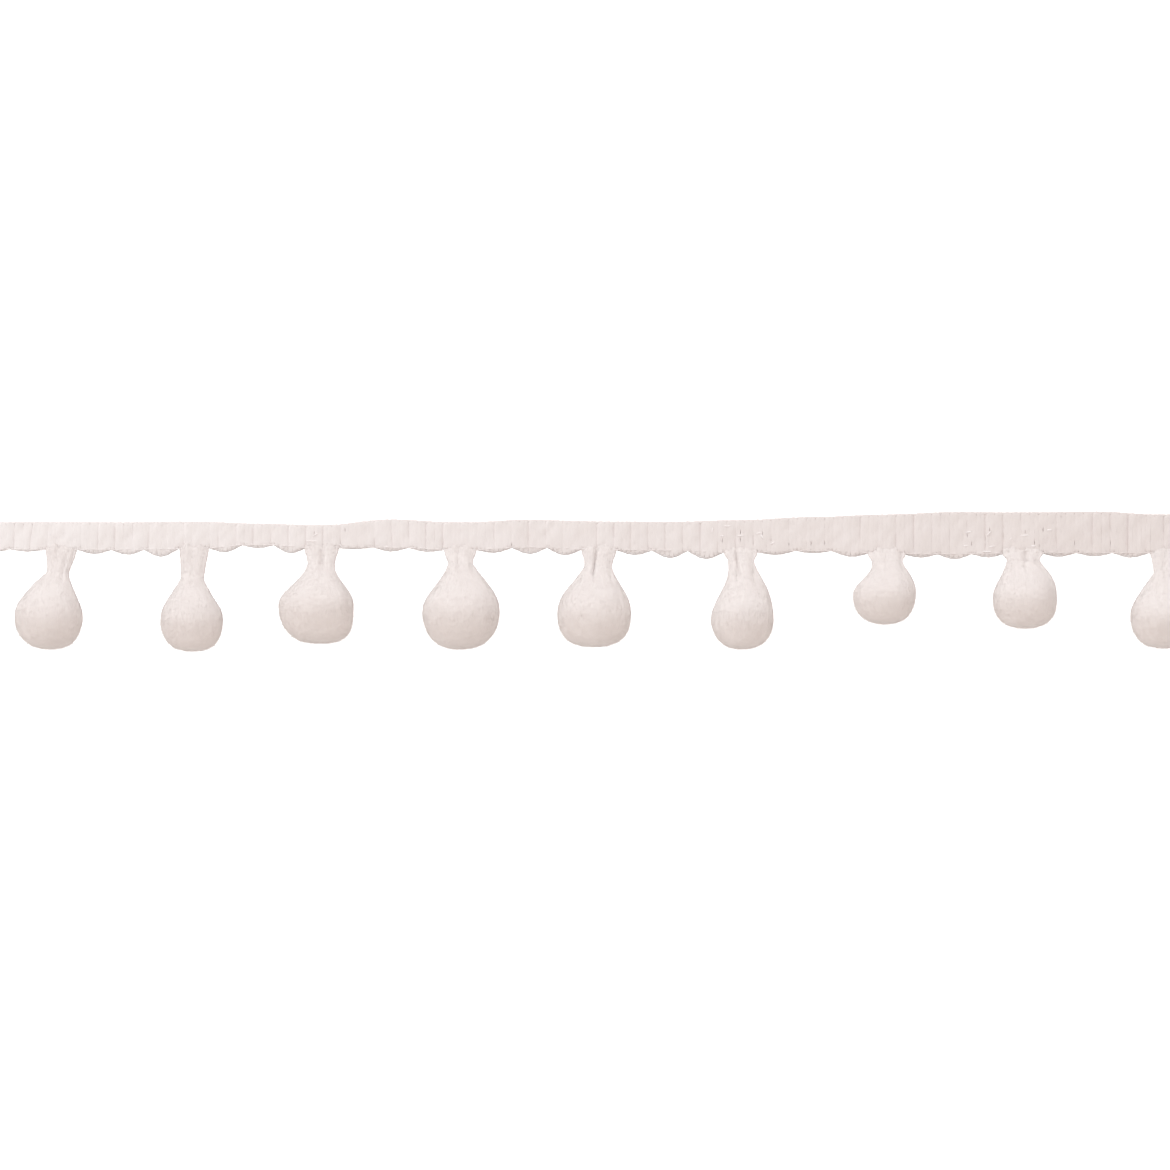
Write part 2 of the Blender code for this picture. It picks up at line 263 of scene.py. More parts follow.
# ---- Stage: what each light gives, and the part of the floor that the camera frames ----
FLOOR_SIZE, FLOOR_GLOW = 4.0, 1.2
ROOM_LIGHT, WINDOW_LIGHT = 0.945, 0.42
ROOM_COLOUR, WINDOW_COLOUR = (1.06, 0.98, 0.92, 1), (0.97, 0.99, 1.0, 1)
KEY_TURN, KEY_RISE, KEY_AWAY = math.radians(34.0), math.radians(18.0), 0.65
KEY_ENERGY, KEY_SIZE = 0.18, 0.40
FRAME_WIDTH, FRAME_MIDDLE, FRAME_LEVEL = 168.0 * MM, (-3.02 * MM, -0.52 * MM), 3.0 * MM
LENS, SENSOR = 180.0, 36.0


# ================================ helpers ================================


def only(*pieces):
    """Selects these objects alone, with the last one active."""
    bpy.ops.object.select_all(action="DESELECT")
    for piece in pieces:
        piece.select_set(True)
    bpy.context.view_layer.objects.active = pieces[-1]


def edit(piece, *steps):
    """Runs edit-mode steps on the whole of a piece."""
    only(piece)
    bpy.ops.object.mode_set(mode="EDIT")
    bpy.ops.mesh.select_all(action="SELECT")
    for step in steps:
        step()
    bpy.ops.object.mode_set(mode="OBJECT")


def joined(pieces, name):
    only(*pieces)
    bpy.ops.object.join()
    piece = bpy.context.view_layer.objects.active
    piece.name = piece.data.name = name
    return piece


def settled(piece):
    """Puts the piece's place, turn and scale into its mesh."""
    only(piece)
    bpy.ops.object.transform_apply(location=True, rotation=True, scale=True)
    return piece


def node_copy(node, name):
    """A new piece with a node's mesh, its loose triangles merged."""
    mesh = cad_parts[node].data.copy()
    piece = bpy.data.objects.new(name, mesh)
    bpy.context.scene.collection.objects.link(piece)
    mesh.name = name
    mesh.materials.clear()
    edit(piece, lambda: bpy.ops.mesh.remove_doubles(threshold=TINY))
    return piece


def places(piece):
    found = np.empty(len(piece.data.vertices) * 3, np.float32)
    piece.data.vertices.foreach_get("co", found)
    return found.reshape(-1, 3).astype(float)


def normals(piece):
    found = np.empty(len(piece.data.vertices) * 3, np.float32)
    piece.data.vertices.foreach_get("normal", found)
    return found.reshape(-1, 3).astype(float)


def move_to(piece, found):
    piece.data.vertices.foreach_set("co", found.astype(np.float32).ravel())
    piece.data.update()


def ease(share):
    """0 to 1, slow at both ends."""
    share = np.clip(share, 0.0, 1.0)
    return share * share * (3 - 2 * share)


def stray(chance, reach):
    """A chance step of up to half of the reach either way."""
    return reach * (chance.random() - 0.5)


def apply_all(piece):
    only(piece)
    for modifier in list(piece.modifiers):
        bpy.ops.object.modifier_apply(modifier=modifier.name)


def dress(piece, material, angle):
    """Gives a piece its one material, and smooth shading over edges up to the angle."""
    piece.data.materials.clear()
    piece.data.materials.append(material)
    only(piece)
    bpy.ops.object.shade_smooth_by_angle(angle=angle)


# ================================ materials ================================


def added(tree, kind, inputs=None, **settings):
    """A new node with these settings and input values."""
    node = tree.nodes.new(kind)
    for label, value in settings.items():
        setattr(node, label, value)
    for label, value in (inputs or {}).items():
        node.inputs[label].default_value = value
    return node


def wire(tree, *wires):
    """Links nodes; a wire goes from a node's output to another's input."""
    for source, output, target, entry in wires:
        tree.links.new(source.outputs[output], target.inputs[entry])


def group_of(name, inputs, outputs):
    """A new shader node group with named sockets, and its input and output nodes."""
    group = bpy.data.node_groups.new(name, "ShaderNodeTree")
    for label, kind, value in inputs:
        socket = group.interface.new_socket(label, in_out="INPUT", socket_type=kind)
        if value is not None:
            socket.default_value = value
    for label, kind in outputs:
        group.interface.new_socket(label, in_out="OUTPUT", socket_type=kind)
    return group, group.nodes.new("NodeGroupInput"), group.nodes.new("NodeGroupOutput")


def patches_group():
    """Soft patches of a deeper colour, as uneven dye and handling leave on yarn."""
    group, given, out = group_of(
        "soft_patches",
        (
            ("Vector", "NodeSocketVector", None),
            ("Light", "NodeSocketColor", (0.8, 0.8, 0.8, 1)),
            ("Deep", "NodeSocketColor", (0.7, 0.7, 0.7, 1)),
            ("Scale", "NodeSocketFloat", 300.0),
        ),
        (("Color", "NodeSocketColor"),),
    )
    clouds = added(group, "ShaderNodeTexNoise", {"Detail": 3.0})
    soften = added(group, "ShaderNodeMapRange", {"From Min": 0.3, "From Max": 0.7})
    mix = added(group, "ShaderNodeMix", data_type="RGBA")
    wire(
        group,
        (given, "Vector", clouds, "Vector"),
        (given, "Scale", clouds, "Scale"),
        (clouds, "Fac", soften, "Value"),
        (soften, "Result", mix, "Factor"),
        (given, "Light", mix, "A"),
        (given, "Deep", mix, "B"),
        (mix, "Result", out, "Color"),
    )
    return group


def fibre_group():
    """Fine fibres: noise drawn out along the yarn, in its colour, its roughness and its height."""
    group, given, out = group_of(
        "fibre_lines",
        (
            ("Vector", "NodeSocketVector", None),
            ("Stretch", "NodeSocketVector", (1.0, 0.1, 1.0)),
            ("Scale", "NodeSocketFloat", 8000.0),
            ("Color", "NodeSocketColor", (0.8, 0.8, 0.8, 1)),
        ),
        (
            ("Color", "NodeSocketColor"),
            ("Roughness", "NodeSocketFloat"),
            ("Height", "NodeSocketFloat"),
        ),
    )
    drawn = added(group, "ShaderNodeVectorMath", operation="MULTIPLY")
    lines = added(
        group, "ShaderNodeTexNoise", {"Detail": 2.0, "Roughness": 0.6, "Distortion": 0.3}
    )
    shade = added(group, "ShaderNodeMapRange", {"To Min": 0.95, "To Max": 1.03})
    rough = added(group, "ShaderNodeMapRange", {"To Min": 0.95, "To Max": 0.75})
    mix = added(group, "ShaderNodeMix", {"Factor": 1.0}, data_type="RGBA", blend_type="MULTIPLY")
    wire(
        group,
        (given, "Vector", drawn, 0),
        (given, "Stretch", drawn, 1),
        (drawn, "Vector", lines, "Vector"),
        (given, "Scale", lines, "Scale"),
        (lines, "Fac", shade, "Value"),
        (given, "Color", mix, "A"),
        (shade, "Result", mix, "B"),
        (mix, "Result", out, "Color"),
        (lines, "Fac", rough, "Value"),
        (rough, "Result", out, "Roughness"),
        (lines, "Fac", out, "Height"),
    )
    return group


def tinted_group():
    """A colour multiplied by a tint, as far as a share says."""
    group, given, out = group_of(
        "tinted",
        (
            ("Color", "NodeSocketColor", (0.8, 0.8, 0.8, 1)),
            ("Tint", "NodeSocketColor", (1.0, 1.0, 1.0, 1)),
            ("Share", "NodeSocketFloat", 1.0),
        ),
        (("Color", "NodeSocketColor"),),
    )
    mix = added(group, "ShaderNodeMix", data_type="RGBA", blend_type="MULTIPLY")
    wire(
        group,
        (given, "Share", mix, "Factor"),
        (given, "Color", mix, "A"),
        (given, "Tint", mix, "B"),
        (mix, "Result", out, "Color"),
    )
    return group


def placed(material, group, **values):
    """A shader node group placed in a material with its own values."""
    return added(material.node_tree, "ShaderNodeGroup", values, node_tree=group)


def along_trim(tree, where):
    """A share that grows from 0 at the trim's left-hand end to 1 at its right-hand one."""
    along = added(tree, "ShaderNodeSeparateXYZ")
    ends = {"From Min": cad_box[0].x, "From Max": cad_box[1].x}
    share = added(tree, "ShaderNodeMapRange", ends)
    wire(tree, (where, "Object", along, "Vector"), (along, "X", share, "Value"))
    return share.outputs["Result"]


def ball_shade_share(tree):
    """The share of painted shade on a pompom: 0 on its shoulder, growing to 1 at its cut end."""
    return added(tree, "ShaderNodeAttribute", attribute_name="ball_shade").outputs["Fac"]


def tint_by(material, colour, share, tint):
    """Puts a tint over a colour by a share, and gives the new colour."""
    tinted = placed(material, TINTED, Tint=tint)
    links = material.node_tree.links
    links.new(colour, tinted.inputs["Color"])
    links.new(share, tinted.inputs["Share"])
    return tinted.outputs["Color"]


def yarn(name, light, deep, stretch, relief=RELIEF, far=None, end=None):
    """A soft yarn: patchy colour from light to deep, and fine fibre lines, drawn out by stretch,
    in its colour, roughness and relief. far is the tint that it takes on towards the right-hand
    end of the trim, and end is painted shade: a darker, warmer tint towards the cut end of a pompom."""
    material = bpy.data.materials.new(name)
    material.use_nodes = True
    tree = material.node_tree
    surface = tree.nodes["Principled BSDF"]
    surface.inputs["Sheen Weight"].default_value = SHEEN
    surface.inputs["Sheen Roughness"].default_value = SHEEN_ROUGHNESS
    surface.inputs["Specular IOR Level"].default_value = SPECULAR
    where = added(tree, "ShaderNodeTexCoord")
    patches = placed(material, PATCHES, Light=light, Deep=deep, Scale=PATCHINESS)
    fibres = placed(material, FIBRES, Stretch=stretch, Scale=FINENESS)
    bump = added(tree, "ShaderNodeBump", {"Strength": 0.5, "Distance": relief})
    wire(
        tree,
        (where, "Object", patches, "Vector"),
        (where, "Object", fibres, "Vector"),
        (patches, "Color", fibres, "Color"),
        (fibres, "Roughness", surface, "Roughness"),
        (fibres, "Height", bump, "Height"),
        (bump, "Normal", surface, "Normal"),
    )
    colour = fibres.outputs["Color"]
    if far:
        colour = tint_by(material, colour, along_trim(tree, where), far)
    # Painted shade towards a pompom's cut end.
    if end:
        colour = tint_by(material, colour, ball_shade_share(tree), end)
    tree.links.new(colour, surface.inputs["Base Color"])
    return material


PATCHES, FIBRES, TINTED = patches_group(), fibre_group(), tinted_group()
POMPOM_YARN = yarn(
    "pompom_yarn",
    light=(0.855, 0.79, 0.77, 1),
    deep=(0.83, 0.76, 0.74, 1),
    stretch=(1.0, 0.12, 1.0),
    # painted shade towards the cut end
    end=BALL_SHADE_TINT,
)
TIE_YARN = yarn(
    "tie_yarn",
    light=(0.855, 0.79, 0.77, 1),
    deep=(0.83, 0.76, 0.74, 1),
    stretch=(1.0, 0.08, 1.0),
)
TAPE_YARN = yarn(
    "tape_yarn",
    light=(0.88, 0.825, 0.815, 1),
    deep=(0.855, 0.795, 0.78, 1),
    stretch=(1.0, 0.15, 1.0),
    far=FAR_END,
)
# The picots' yarn is a darker, greyer copy of the tape's yarn: painted shade along the scallops'
# lower rim.
SHADED_EDGE_YARN = yarn(
    "shaded_edge_yarn",
    light=(0.76, 0.72, 0.715, 1),
    deep=(0.72, 0.68, 0.675, 1),
    stretch=(0.1, 1.0, 1.0),
)
# The stitches' yarn is a paler copy of the tape's yarn: painted highlight on the raised stitches.
LIT_STITCH_YARN = yarn(
    "lit_stitch_yarn",
    light=(0.93, 0.88, 0.87, 1),
    deep=(0.90, 0.84, 0.83, 1),
    stretch=(0.1, 1.0, 1.0),
)
# The fibres of the pile are too fine for relief of their own.
PILE = yarn(
    "pile",
    light=(0.87, 0.805, 0.785, 1),
    deep=(0.84, 0.765, 0.74, 1),
    stretch=(1.0, 1.0, 1.0),
    relief=0.0,
    # painted shade towards the cut end
    end=BALL_SHADE_TINT,
)
TAPE_FUZZ = yarn(
    "tape_fuzz",
    light=(0.90, 0.835, 0.82, 1),
    deep=(0.87, 0.80, 0.785, 1),
    stretch=(1.0, 1.0, 1.0),
    relief=0.0,
    far=FAR_END,
)


# ================================ pile ================================


def hair(name, length, material):
    """One fine fibre along +Z; its root goes below the origin, into the piece."""
    bpy.ops.object.select_all(action="DESELECT")
    depth = length + HAIR_ROOT
    bpy.ops.mesh.primitive_cone_add(
        vertices=3,
        radius1=HAIR_RADIUS,
        radius2=0.0,
        depth=depth,
        end_fill_type="NOTHING",
        location=(0.0, 0.0, depth / 2 - HAIR_ROOT),
    )
    piece = settled(bpy.context.view_layer.objects.active)
    piece.name = name
    piece.data.materials.append(material)
    bpy.ops.object.shade_smooth()
    return piece


def pile_tree(name, strand, density, seed):
    """Geometry nodes that plant fibres over a mesh along its "lay" attribute, made real."""
    tree = bpy.data.node_groups.new(name, "GeometryNodeTree")
    tree.interface.new_socket("Geometry", in_out="INPUT", socket_type="NodeSocketGeometry")
    tree.interface.new_socket("Geometry", in_out="OUTPUT", socket_type="NodeSocketGeometry")
    given, out = added(tree, "NodeGroupInput"), added(tree, "NodeGroupOutput")
    scatter = added(tree, "GeometryNodeDistributePointsOnFaces", {"Seed": seed})
    named = "GeometryNodeInputNamedAttribute"
    cover = added(tree, named, {"Name": "cover"}, data_type="FLOAT")
    lay = added(tree, named, {"Name": "lay"}, data_type="FLOAT_VECTOR")
    covered = added(tree, "ShaderNodeMath", {1: density}, operation="MULTIPLY")
    stray_range = {"Min": (-HAIR_STRAY,) * 3, "Max": (HAIR_STRAY,) * 3, "Seed": seed + 1}
    strays = added(tree, "FunctionNodeRandomValue", stray_range, data_type="FLOAT_VECTOR")
    aim = added(tree, "ShaderNodeVectorMath")
    turn = added(tree, "FunctionNodeAlignRotationToVector", axis="Z")
    size_range = {"Min": HAIR_SIZES[0], "Max": HAIR_SIZES[1], "Seed": seed + 2}
    size = added(tree, "FunctionNodeRandomValue", size_range, data_type="FLOAT")
    source = added(tree, "GeometryNodeObjectInfo", {"Object": strand, "As Instance": True})
    plant = added(tree, "GeometryNodeInstanceOnPoints")
    real = added(tree, "GeometryNodeRealizeInstances")
    both = added(tree, "GeometryNodeJoinGeometry")
    wire(
        tree,
        (given, "Geometry", scatter, "Mesh"),
        (cover, "Attribute", covered, 0),
        (covered, "Value", scatter, "Density"),
        (scatter, "Points", plant, "Points"),
        (source, "Geometry", plant, "Instance"),
        (lay, "Attribute", aim, 0),
        (strays, "Value", aim, 1),
        (aim, "Vector", turn, "Vector"),
        (turn, "Rotation", plant, "Rotation"),
        (size, 1, plant, "Scale"),
        (plant, "Instances", real, "Geometry"),
        (real, "Geometry", both, "Geometry"),
        (given, "Geometry", both, "Geometry"),
        (both, "Geometry", out, "Geometry"),
    )
    return tree


def grow_pile(piece, strand, density, lay, seed, bare=(0.0, 0.0)):
    """Plants that many fibres to the square millimetre, each pointing along its vertex's lay, and
    bends those that would go through the surface that the trim lies on. None grow underneath, or
    where y lies within the bare stretch."""
    mesh = piece.data
    middle, out = np.empty(len(mesh.polygons) * 3), np.empty(len(mesh.polygons) * 3)
    mesh.polygons.foreach_get("center", middle)
    mesh.polygons.foreach_get("normal", out)
    y, rise = middle[1::3], out[2::3]
    grown = (rise > UNDERNEATH) & ((y < bare[0]) | (y > bare[1]))
    cover = mesh.attributes.new("cover", "FLOAT", "FACE")
    cover.data.foreach_set("value", grown * 1.0)
    attribute = mesh.attributes.new("lay", "FLOAT_VECTOR", "POINT")
    attribute.data.foreach_set("vector", lay.astype(np.float32).ravel())
    modifier = piece.modifiers.new("pile", "NODES")
    modifier.node_group = pile_tree(piece.name + "_pile", strand, density / MM**2, seed)
    apply_all(piece)
    for name in ("lay", "cover"):
        piece.data.attributes.remove(piece.data.attributes[name])
    found = places(piece)
    found[:, 2] = np.maximum(found[:, 2], 0.0)
    move_to(piece, found)


# ================================ pompoms and ties ================================


# A pompom's widest ring: its level of y and its radius.
Ball = namedtuple("Ball", "y radius")


class Line:
    """The middle line of a pompom, its neck and its tie, read from the two solids."""

    def __init__(self, *nodes):
        rows = {}
        for node in nodes:
            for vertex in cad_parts[node].data.vertices:
                rows.setdefault(round(vertex.co.y / RING_STEP), []).append(vertex.co)
        rings = [ring for _, ring in sorted(rows.items()) if len(ring) > RING_POINTS]
        self.y = [sum(p.y for p in ring) / len(ring) for ring in rings]
        self.x = [(min(p.x for p in ring) + max(p.x for p in ring)) / 2 for ring in rings]
        self.z = [(min(p.z for p in ring) + max(p.z for p in ring)) / 2 for ring in rings]
        self.half_width = [(max(p.x for p in ring) - min(p.x for p in ring)) / 2 for ring in rings]
        self.half_height = [(max(p.z for p in ring) - min(p.z for p in ring)) / 2 for ring in rings]

    def at(self, y, what):
        """x, z, half_width or half_height at a level of y."""
        return np.interp(y, self.y, getattr(self, what))


def reach_down(piece, low, middle, depth):
    """Draws the lower part of a tie down into its pompom's neck."""
    found = places(piece)
    share = ease((middle - found[:, 1]) / (middle - low))
    found[:, 1] -= depth * share
    move_to(piece, found)


def own_profile(found, line):
    """A piece's half width, top and bottom along y, read from its own points."""
    step = np.round(found[:, 1] / PROFILE_STEP).astype(int)
    aside = np.abs(found[:, 0] - line.at(found[:, 1], "x"))
    levels = range(step.min() + 1, step.max())
    rows = [step == level for level in levels]
    y = np.array(levels) * PROFILE_STEP
    wide = softened(np.array([aside[row].max() for row in rows]), OWN_SOFTNESS)
    top = softened(np.array([found[row, 2].max() for row in rows]), OWN_SOFTNESS)
    bottom = softened(np.array([found[row, 2].min() for row in rows]), OWN_SOFTNESS)
    return y, wide, top, bottom


def softened(values, softness):
    """A profile with its sharp bends rounded off."""
    reach = int(3 * softness / PROFILE_STEP)
    share = np.exp(-0.5 * (np.arange(-reach, reach + 1) * PROFILE_STEP / softness) ** 2)
    padded = np.pad(values, reach, mode="reflect", reflect_type="odd")
    return np.convolve(padded, share / share.sum(), mode="valid")


def laid_profile(y, line, ball, seam, base_y):
    """The top and bottom that a pompom has along y: its solid's own with a fuller shoulder, then
    a neck that comes down to the tape, and strands that lie on it and sink in among its ribs."""
    start = seam - NECK_START
    marks = (start, seam, *(base_y + step for step in NECK_STEPS))
    found = []
    on_ball = ease((seam - BALL_FROM - y) / BALL_EASE)
    shoulder = np.exp(-(((y - ball.y) / ball.radius - SHOULDER_MIDDLE) / SHOULDER_REACH) ** 2)
    for side, fuller, heights in ((1, SHOULDER_RISE, NECK_TOPS), (-1, 0.0, NECK_BOTTOMS)):
        own = line.at(y, "z") + side * line.at(y, "half_height")
        first = float(np.interp(start, y, own))
        laid = np.interp(y, marks, (first, *heights))
        shape = np.where(y > start, laid, own)
        near = softened(shape, NECK_SOFTNESS)
        far = softened(shape, BALL_SOFTNESS) + fuller * shoulder
        found.append(near + (far - near) * on_ball)
    return found


def lay_down(piece, line, ball, seam, base_y, seed):
    """Gives a smoothed pompom its outline again, and lays its neck and strands on the tape."""
    found = places(piece)
    y, wide, top, bottom = own_profile(found, line)
    new_top, new_bottom = laid_profile(y, line, ball, seam, base_y)
    here = found[:, 1].copy()
    above = ease(((here - ball.y) / ball.radius + OUTLINE_BELOW) / OUTLINE_EASE)
    flare = FLARE * np.exp(-(((here - base_y - FLARE_PAST) / FLARE_REACH) ** 2))
    stretch = line.at(here, "half_width") / np.interp(here, y, wide)
    stretch = np.clip(stretch, *STRETCH_LIMITS) * (1 + flare)
    middle = line.at(here, "x")
    found[:, 0] = middle + (found[:, 0] - middle) * (1 + (stretch - 1) * above)
    ragged = np.zeros(len(found))
    for index in np.flatnonzero(here > base_y):
        x = found[index, 0]
        ragged[index] = noise.noise(Vector((x / RAGGED_SIZE, seed, 0.5))) * RAGGED_DEPTH
    there = here + ragged * ease((here - base_y) / RAGGED_EASE)
    old_low, old_high = np.interp(here, y, bottom), np.interp(here, y, top)
    level = np.clip((found[:, 2] - old_low) / np.maximum(old_high - old_low, THINNEST), 0.0, 1.0)
    low, high = np.interp(there, y, new_bottom), np.interp(there, y, new_top)
    found[:, 2] += (low + (high - low) * level - found[:, 2]) * above
    move_to(piece, found)


def strand_relief(found, out, side, rows, openings, top_y):
    """How deep the surface lies between the soft strands of a tie; side is 0 on the middle line
    and 1 on the outline."""
    x, y = found[:, 0] / MM, found[:, 1] / MM
    full, window = np.zeros(len(found)), np.zeros(len(found))
    for row in rows:
        down = ease((top_y - y) / (top_y - row.low_y))
        middle = row.top_x + (row.low_x - row.top_x) * down
        across = (x - middle) / (row.width * STRAND_REACH)
        full = np.maximum(full, np.sqrt(np.maximum(1 - across**2, 0.0)))
        window = np.maximum(window, ease((y - row.low_y + STRANDS_FROM) / STRANDS_EASE))
    facing = np.clip(np.abs(out[:, 2]) * RELIEF_FACING, 0.0, 1.0)
    facing *= 1 - ease((side - RELIEF_TO) / RELIEF_EASE)
    depth = STRAND_DEPTH * (1 - full) * window
    for gap in openings:
        past = (gap.top_y - y) / (gap.top_y - gap.low_y)
        ends = np.clip(1 - (2 * past - 1) ** 4, 0.0, 1.0)
        middle = gap.top_x + (gap.low_x - gap.top_x) * np.clip(past, 0.0, 1.0)
        across = (x - middle) / (gap.width * OPENING_REACH)
        depth += gap.depth * MM * np.exp(-(across**2)) * ends * (out[:, 2] > 0)
    return depth * facing


def sculpt(piece, line, ball, rows, openings, base_y, seed):
    """Soft lumps over the ball, strands and fibre streaks fanning out of the neck, and a fine
    grain where the fibres' cut ends show."""
    found, out = places(piece), normals(piece)
    along = found[:, 1]
    middle_x, middle_z = line.at(along, "x"), line.at(along, "z")
    wide, high = line.at(along, "half_width"), line.at(along, "half_height")
    across = (found[:, 0] - middle_x) / wide
    up = (found[:, 2] - middle_z) / high
    towards_end = ease((ball.y - along) / (END_REACH * ball.radius) + END_SHARE)
    on_ball = ease((wide / ball.radius - LUMPS_FROM) / LUMPS_EASE)
    shift = Vector([seed * step for step in NOISE_STEPS])
    depth = np.empty(len(found))
    for index, place in enumerate(found):
        here = Vector(place)
        lump = noise.noise(here / LUMP_SIZE + shift)
        grain = noise.noise(here / GRAIN_SIZE + shift)
        around = across[index] * STREAKS_AROUND, up[index] * STREAKS_AROUND
        streak = noise.noise(Vector((*around, here.y / STREAK_LENGTH)) + shift)
        end = towards_end[index]
        depth[index] = (
            LUMP_DEPTH * lump * on_ball[index]
            + STREAK_DEPTH * streak * (1 - STREAKS_LOST * end)
            + GRAIN_DEPTH * grain * (GRAIN_AT_NECK + (1 - GRAIN_AT_NECK) * end)
            + NECK_SKIN
            + (END_SKIN - NECK_SKIN) * end
        )
    top_y = (base_y + TIE_ON_TAPE) / MM
    depth -= strand_relief(found, out, np.abs(across), rows, openings, top_y)
    found += out * depth[:, None]
    found[:, 2] = np.maximum(found[:, 2], 0.0)
    move_to(piece, found)


def lay_of(piece, ball):
    """Which way the fibres lie: flat along the neck and shoulder, and outward at the cut end."""
    found, out = places(piece), normals(piece)
    down = np.array((0.0, -1.0, 0.0))
    flat = down - out * (out @ down)[:, None]
    flat /= np.maximum(np.linalg.norm(flat, axis=1), 0.2)[:, None]
    end = ease((ball.y - found[:, 1]) / ball.radius * RISE_REACH + RISE_SHARE)
    rise = NECK_RISE + (END_RISE - NECK_RISE) * end
    lay = flat * (1 - rise)[:, None] + out * (rise + MORE_RISE)[:, None]
    return lay / np.maximum(np.linalg.norm(lay, axis=1), 1e-6)[:, None]


def parted(piece, y, keep_above):
    """Keeps the part of a piece above or below a level of y, and closes the cut."""
    edit(
        piece,
        lambda: bpy.ops.mesh.bisect(
            plane_co=(0.0, y, 0.0),
            plane_no=(0.0, 1.0, 0.0),
            clear_inner=keep_above,
            clear_outer=not keep_above,
            threshold=0.01 * MM,
        ),
        lambda: bpy.ops.mesh.select_all(action="DESELECT"),
        lambda: bpy.ops.mesh.select_non_manifold(
            use_wire=False, use_multi_face=False, use_non_contiguous=False, use_verts=False
        ),
        lambda: bpy.ops.mesh.fill(use_beauty=True),
    )


def tuck(strands, seam):
    """Draws the tie's lower end in, so that it goes into the pompom's neck under its surface."""
    found, out = places(strands), normals(strands)
    share = ease((seam - found[:, 1]) / TUCK)
    move_to(strands, found - out * (share * TUCK_DEPTH)[:, None])


def remesh(piece):
    """Gives a piece an even skin of small faces, and smooths it."""
    only(piece)
    piece.data.remesh_voxel_size = VOXEL
    bpy.ops.object.voxel_remesh()
    smooth = piece.modifiers.new("smooth", "SMOOTH")
    smooth.factor = 0.5
    smooth.iterations = SMOOTHING
    apply_all(piece)


def make_pompom(number, soft_hair):
    """A pompom and its tie, sculpted as one soft bundle and parted where their solids part."""
    bobble, tie = f"bobble_{number}", f"tie_{number}"
    line = Line(bobble, tie)
    low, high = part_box(bobble)
    ball = Ball(line.y[int(np.argmax(line.half_width))], (high.x - low.x) / 2)
    tie_low, tie_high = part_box(tie)
    base_y = tie_high.y - TIE_ON_TAPE
    rows = [row for row in STRANDS if row.tie == number]
    openings = [gap for gap in OPENINGS if gap.tie == number]
    back = node_copy(tie, "tie_solid")
    reach_down(back, tie_low.y, (tie_low.y + tie_high.y) / 2, TIE_DRAWN_DOWN)
    body = joined([back, node_copy(bobble, "pompom_solid")], f"pompom_{number}")
    seam = (high.y + tie_low.y) / 2
    remesh(body)
    lay_down(body, line, ball, seam, base_y, number)
    sculpt(body, line, ball, rows, openings, base_y, number)
    # Painted shade: a share kept on the mesh, by which the colour darkens and warms below the widest
    # ring.
    reach = BALL_SHADE_REACH * ball.radius
    share = ease((ball.y + reach - places(body)[:, 1]) / (2 * reach))
    ball_shade = body.data.attributes.new("ball_shade", "FLOAT", "POINT")
    ball_shade.data.foreach_set("value", share.astype(np.float32))
    strands = body.copy()
    strands.data = body.data.copy()
    strands.name = strands.data.name = f"tie_{number}_strands"
    bpy.context.scene.collection.objects.link(strands)
    parted(body, seam, keep_above=False)
    parted(strands, seam - TUCK, keep_above=True)
    tuck(strands, seam)
    parts = (
        (body, POMPOM_YARN, BODY_BARE, bobble, "pompom_pile"),
        (strands, TIE_YARN, STRANDS_BARE, tie, "tie_yarn"),
    )
    for index, (piece, material, bare, node, slot) in enumerate(parts):
        dress(piece, material, SOFT_ANGLE)
        bare_y = seam + bare[0], seam + bare[1]
        seed = 10 * number + 5 * index
        grow_pile(piece, soft_hair, SOFT_DENSITY, lay_of(piece, ball), seed, bare_y)
        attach(piece, "root")
        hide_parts(node)


# ================================ tape ================================


class Tape:
    """The tape's edges, read from its solid: low and high along x, and base, which is the lower
    edge without its scallops."""

    def __init__(self):
        rows = {}
        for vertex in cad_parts["header_tape"].data.vertices:
            rows.setdefault(round(vertex.co.x, 6), []).append(vertex.co.y)
        middle = sum(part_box("header_tape"), Vector()).y / 2
        self.low = [(x, min(rows[x])) for x in sorted(rows) if min(rows[x]) < middle - EDGE_BAND]
        self.high = [(x, max(rows[x])) for x in sorted(rows) if max(rows[x]) > middle + EDGE_BAND]
        self.cusps = [
            (x, y)
            for index, (x, y) in enumerate(self.low)
            if y >= max(near for _, near in self.low[max(index - 1, 0) : index + 2]) - TINY
        ]

    def low_at(self, x):
        return float(np.interp(x, *zip(*self.low)))

    def high_at(self, x):
        return float(np.interp(x, *zip(*self.high)))

    def base_at(self, x):
        return float(np.interp(x, *zip(*self.cusps)))


